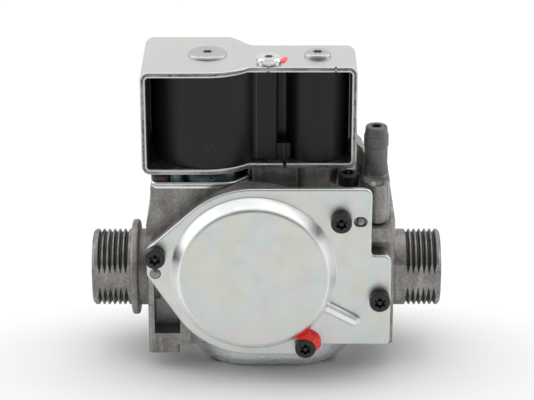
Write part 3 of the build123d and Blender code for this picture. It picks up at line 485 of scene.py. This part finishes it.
def yoke_stations():
    """Places round the band, from its joint and back: (x, z, outward x, outward z)."""
    def run(start, end, step=0.8):
        count = max(2, round(abs(end - start) / step))
        return [start + (end - start) * k / count for k in range(count + 1)]

    def bend(x, z, first):
        angles = [math.radians(first + 90 * k / 10) for k in range(1, 10)]
        return [(x + CORNER * math.cos(a), z + CORNER * math.sin(a), math.cos(a), math.sin(a))
                for a in angles]

    left, right, low, high = yoke_low.x, yoke_high.x, yoke_low.z, yoke_high.z
    inner_left, inner_right = left + CORNER, right - CORNER
    inner_low, inner_high = low + CORNER, high - CORNER
    top = set(run(inner_right, inner_left))
    for x in SLITS:
        top -= {t for t in top if abs(t - x - SLIT_WIDTH / 2) < 0.4}
        top |= {x - 0.02, x, x + SLIT_WIDTH, x + SLIT_WIDTH + 0.02}
    places = [(x, low, 0, -1) for x in run(JOINT[1], inner_right)]
    places += bend(inner_right, inner_low, -90)
    places += [(right, z, 1, 0) for z in run(inner_low, inner_high)]
    places += bend(inner_right, inner_high, 0)
    places += [(x, high, 0, 1) for x in sorted(top, reverse=True)]
    places += bend(inner_left, inner_high, 90)
    places += [(left, z, -1, 0) for z in run(inner_high, inner_low)]
    places += bend(inner_left, inner_low, 180)
    places += [(x, low, 0, -1) for x in run(inner_left, JOINT[0])]
    return places


def yoke_mesh():
    band = bmesh.new()
    rings = []
    for x, z, out_x, out_z in yoke_stations():
        ragged = abs(0.05 * noise.noise(Vector((x, z, 3.0)) * 0.9))
        front, back = front_limit(x) + ragged, back_limit(x) - ragged
        if out_z == 1 and any(slit <= x <= slit + SLIT_WIDTH for slit in SLITS):
            front += SLIT_DEPTH
        section = [(depth, front + behind) for depth, behind in EDGE]
        section += [(depth, back - behind) for depth, behind in reversed(EDGE)]
        rings.append([band.verts.new(((x - depth * out_x) * MM, y * MM, (z - depth * out_z) * MM))
                      for depth, y in section])
    for one, other in zip(rings, rings[1:]):
        for k in range(len(one)):
            j = (k + 1) % len(one)
            face = band.faces.new((one[k], one[j], other[j], other[k]))
            face.material_index = int(k in (TORN, 2 * len(EDGE) - 2 - TORN))
    band.faces.new(rings[0][::-1])
    band.faces.new(rings[-1])
    bmesh.ops.recalc_face_normals(band, faces=band.faces)
    mesh = bpy.data.meshes.new("yoke_band")
    band.to_mesh(mesh)
    band.free()
    mesh.materials.append(finishes["zinc_yoke"])
    mesh.materials.append(sheared_steel("sheared_edge"))
    return mesh


def drilled(mesh, holes):
    """The mesh with upright round holes through it; each is (x, y, radius, low, high)."""
    cutter = bmesh.new()
    for x, y, radius, low, high in holes:
        place = Matrix.Translation((x * MM, y * MM, (low + high) / 2 * MM))
        bmesh.ops.create_cone(cutter, cap_ends=True, segments=48, radius1=radius * MM,
                              radius2=radius * MM, depth=(high - low) * MM, matrix=place)
    cutter_mesh = bpy.data.meshes.new("hole_cutter")
    cutter.to_mesh(cutter_mesh)
    cutter.free()
    tool = bpy.data.objects.new("hole_cutter", cutter_mesh)
    blank = bpy.data.objects.new("hole_blank", mesh)
    for thing in (tool, blank):
        bpy.context.scene.collection.objects.link(thing)
    cut = blank.modifiers.new("holes", "BOOLEAN")
    cut.operation, cut.object, cut.solver = "DIFFERENCE", tool, "EXACT"
    ready = blank.evaluated_get(bpy.context.evaluated_depsgraph_get())
    result = bpy.data.meshes.new_from_object(ready)
    for thing in (tool, blank):
        bpy.data.objects.remove(thing)
    return result


lower, upper = (40.0, 46.0), (74.0, 80.0)
band = drilled(yoke_mesh(), [
    (*EV1_AXIS, 6.6, *lower), (*EV2_AXIS, 4.4, *lower), (*YOKE_SCREW, 1.6, *lower),
    (*EV1_AXIS, 2.2, *upper), (*EV2_AXIS, 1.7, *upper), (*YOKE_SCREW, 1.6, *upper)])
add_piece("coil_yoke_sheet", band, "coil_yoke")


# ---- sealing lacquer: runny drops brushed over two screws ----------------------------------------
TURN = [2 * math.pi * k / 72 for k in range(72)]


def rings_mesh(name, rows, ring=False):
    """Mesh over rows of points that each go all the way round.

    The first and last row are joined to each other if ring is set, or else closed by a face each.
    """
    shell = bmesh.new()
    rows = [[shell.verts.new(point * MM) for point in row] for row in rows]
    for inner, outer in zip(rows, rows[1:] + (rows[:1] if ring else [])):
        for k in range(len(inner)):
            j = (k + 1) % len(inner)
            shell.faces.new((inner[k], inner[j], outer[j], outer[k]))
    if not ring:
        shell.faces.new(rows[0])
        shell.faces.new(rows[-1][::-1])
    bmesh.ops.recalc_face_normals(shell, faces=shell.faces)
    mesh = bpy.data.meshes.new(name)
    shell.to_mesh(mesh)
    shell.free()
    return mesh


def sealing_drop(angle, share):
    """A drop against the screw head's upper right side, falling off to a ragged rim on the cover.

    share goes from 0 beside the head to 1 at the rim; below 0 it is the foot beside the head.
    """
    spread = max(0.0, math.cos(angle - math.radians(52)))
    ragged = 1 + 0.13 * noise.noise(Vector((3.1 * math.cos(angle), 3.1 * math.sin(angle), 0.7)))
    rim = 0.12 + 2.35 * spread ** 0.55 * ragged
    radius = SCREW_HEAD + rim * max(share, 0.0)
    across, up = radius * math.cos(angle), radius * math.sin(angle)
    crown = 0.10 + 3.6 * spread ** 0.4
    lumps = 1 + 0.10 * noise.noise(Vector((across, up, 5.0)) * 0.9)
    height = crown * lumps * (1 - share ** 1.9) ** 0.75 if 0 <= share < 1 else 0.0
    return Vector((SEALED_SCREW.x + across, RIM_FRONT - height, SEALED_SCREW.y + up))


def dome_line(share):
    """Points round a thin run of lacquer that crosses the dome's slope beside the screw."""
    angle = math.radians(-62 + 19 * share)
    radius = 26.6 + 0.15 * math.sin(9 * share)
    outward = Vector((math.cos(angle), 0, math.sin(angle)))
    rise = DOME_HEIGHT * (DOME_FOOT - radius) / DOME_WIDTH
    middle = Vector((DOME_CENTRE.x, RIM_FRONT - rise, DOME_CENTRE.y)) + radius * outward
    thick = 0.05 + 0.27 * math.sin(math.pi * min(max(share, 0.02), 0.98)) ** 0.5
    return [middle + thick * (outward * math.cos(a) + Vector((0, -1, 0)) * math.sin(a))
            for a in TURN[::6]]


def yoke_drop(angle, share):
    """A thin smear on the yoke, drawn out towards the screw."""
    tail = max(0.0, math.cos(angle - math.radians(247))) ** 6
    reach = 0.85 + 0.35 * math.sin(angle) ** 2 + 2.6 * tail
    reach *= 1 + 0.22 * noise.noise(Vector((2.2 * math.cos(angle), 2.2 * math.sin(angle), 9.0)))
    radius = reach * max(share, 0.02)
    height = 0.34 * (1 - share ** 2.2) ** 0.6 if share < 1 else 0.0
    return Vector((66.2 + radius * math.cos(angle), -4.6 + 1.45 * radius * math.sin(angle),
                   yoke_high.z + height))


shares = [-1.0] + [k / 14 for k in range(15)]
drop_rows = [[sealing_drop(angle, share) for angle in TURN] for share in shares]
line_rows = [dome_line(k / 30) for k in range(31)]
smear_rows = [[yoke_drop(angle, k / 10) for angle in TURN] for k in range(11)]
add_piece("cover_screw_lacquer", rings_mesh("cover_drop", drop_rows, ring=True),
          "cover_lacquer", 60)
add_piece("dome_lacquer_line", rings_mesh("lacquer_line", line_rows), "cover_lacquer", 60)
add_piece("yoke_lacquer_smear", rings_mesh("yoke_smear", smear_rows), "yoke_lacquer", 60)


# ---- springs, each in the box of its CAD node ----------------------------------------------------
STEPS = 24                              # sections in a turn of wire
AROUND = 10                             # points round a section


def spring(node, body, wire, turns, along):
    """A coil spring in the box of its CAD node; the value of body is not used."""
    low, high = (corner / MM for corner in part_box(node))
    side = Vector((1, 0, 0))
    other = along.cross(side)
    length = (high - low).dot(along)
    radius = (high.x - low.x) / 2 - wire
    foot = (low + high) / 2 - along * (length / 2)
    rows = []
    for k in range(turns * STEPS + 1):
        angle = 2 * math.pi * k / STEPS
        outward = side * math.cos(angle) + other * math.sin(angle)
        climb = wire + (length - 2 * wire) * k / (turns * STEPS)
        centre = foot + along * climb + outward * radius
        rows.append([centre + (outward * math.cos(a) + along * math.sin(a)) * wire
                     for a in (2 * math.pi * j / AROUND for j in range(AROUND))])
    add_piece(node + "_coil", rings_mesh(node + "_wire", rows), node,
              squashed=(body, (foot + along * length) * MM, foot * MM))


up, rearward = Vector((0, 0, 1)), Vector((0, 1, 0))
spring("ev1_spring", "ev1_armature", 0.6, 9, up)
spring("ev2_spring", "ev2_armature", 0.25, 7, up)
spring("main_valve_spring", "main_valve", 0.5, 6, up)
spring("regulator_spring", "regulator", 0.35, 5, rearward)


# ---- studio: pale floor, soft light from above and both sides, white tent ------------------------
FLOOR_HALF = 3.0
floor_height = cad_low.z - 0.00005
corners = [(-1, -1), (1, -1), (1, 1), (-1, 1)]
floor_mesh = bpy.data.meshes.new("floor")
floor_mesh.from_pydata([(FLOOR_HALF * x, FLOOR_HALF * y, floor_height) for x, y in corners],
                       [], [(0, 1, 2, 3)])
floor = bpy.data.objects.new("floor", floor_mesh)
bpy.context.scene.collection.objects.link(floor)
pale = Finish("pale_floor", Roughness=0.9)
pale_colour = pale.ramp(pale.noise(3), (0.3, (0.91, 0.91, 0.91)), (0.7, (0.94, 0.94, 0.94)))
dress(floor, pale.set(Base_Color=pale_colour))


def softbox(name, place, aim, size, power):
    """Rectangular area light pointing at a spot."""
    light = bpy.data.lights.new(name, "AREA")
    light.shape = "RECTANGLE"
    light.size, light.size_y = size
    light.energy = power
    lamp = bpy.data.objects.new(name, light)
    lamp.location = place
    lamp.rotation_euler = (Vector(aim) - Vector(place)).to_track_quat("-Z", "Y").to_euler()
    bpy.context.scene.collection.objects.link(lamp)


softbox("top_light", (0.06, 0.15, 0.9), (cad_low + cad_high) / 2, (1.5, 0.42), 2.9)
softbox("left_light", (-0.78, 0.17, 0.50), (0.0, 0.0, 0.25), (0.45, 0.9), 2.4)
softbox("right_light", (0.90, 0.17, 0.50), (0.12, 0.0, 0.25), (0.45, 0.9), 2.2)

# the tent has a darker opening in front, which the camera looks through, and a brighter rear
TENT_LEVEL, OPENING_LEVEL, REAR_EXTRA = 0.80, 0.10, 0.2
world = bpy.data.worlds.new("studio")
world.use_nodes = True
tent = world.node_tree


def tent_maths(operation, a, b):
    return add_node(tent, "Math", {0: a, 1: b}, operation=operation)["Value"]


def tent_smooth(value, start, end):
    return add_node(tent, "MapRange", {"Value": value, "From Min": start, "From Max": end},
                    interpolation_type="SMOOTHSTEP")["Result"]


direction = tent.nodes.new("ShaderNodeTexCoord").outputs["Generated"]
_, depth, height = add_node(tent, "SeparateXYZ", {0: direction})
opening = tent_smooth(depth, -0.35, -0.75)
for edge in (tent_smooth(height, 0.04, 0.14), tent_smooth(height, 0.85, 0.65)):
    opening = tent_maths("MULTIPLY", opening, edge)
level = add_node(tent, "MapRange", {"Value": opening, "To Min": TENT_LEVEL,
                                    "To Max": OPENING_LEVEL})["Result"]
rear = tent_maths("MULTIPLY", tent_smooth(depth, 0.3, 0.8), REAR_EXTRA)
background = tent.nodes["Background"]
background.inputs["Color"].default_value = (1.0, 1.0, 1.0, 1)
tent.links.new(tent_maths("ADD", level, rear), background.inputs["Strength"])
bpy.context.scene.world = world
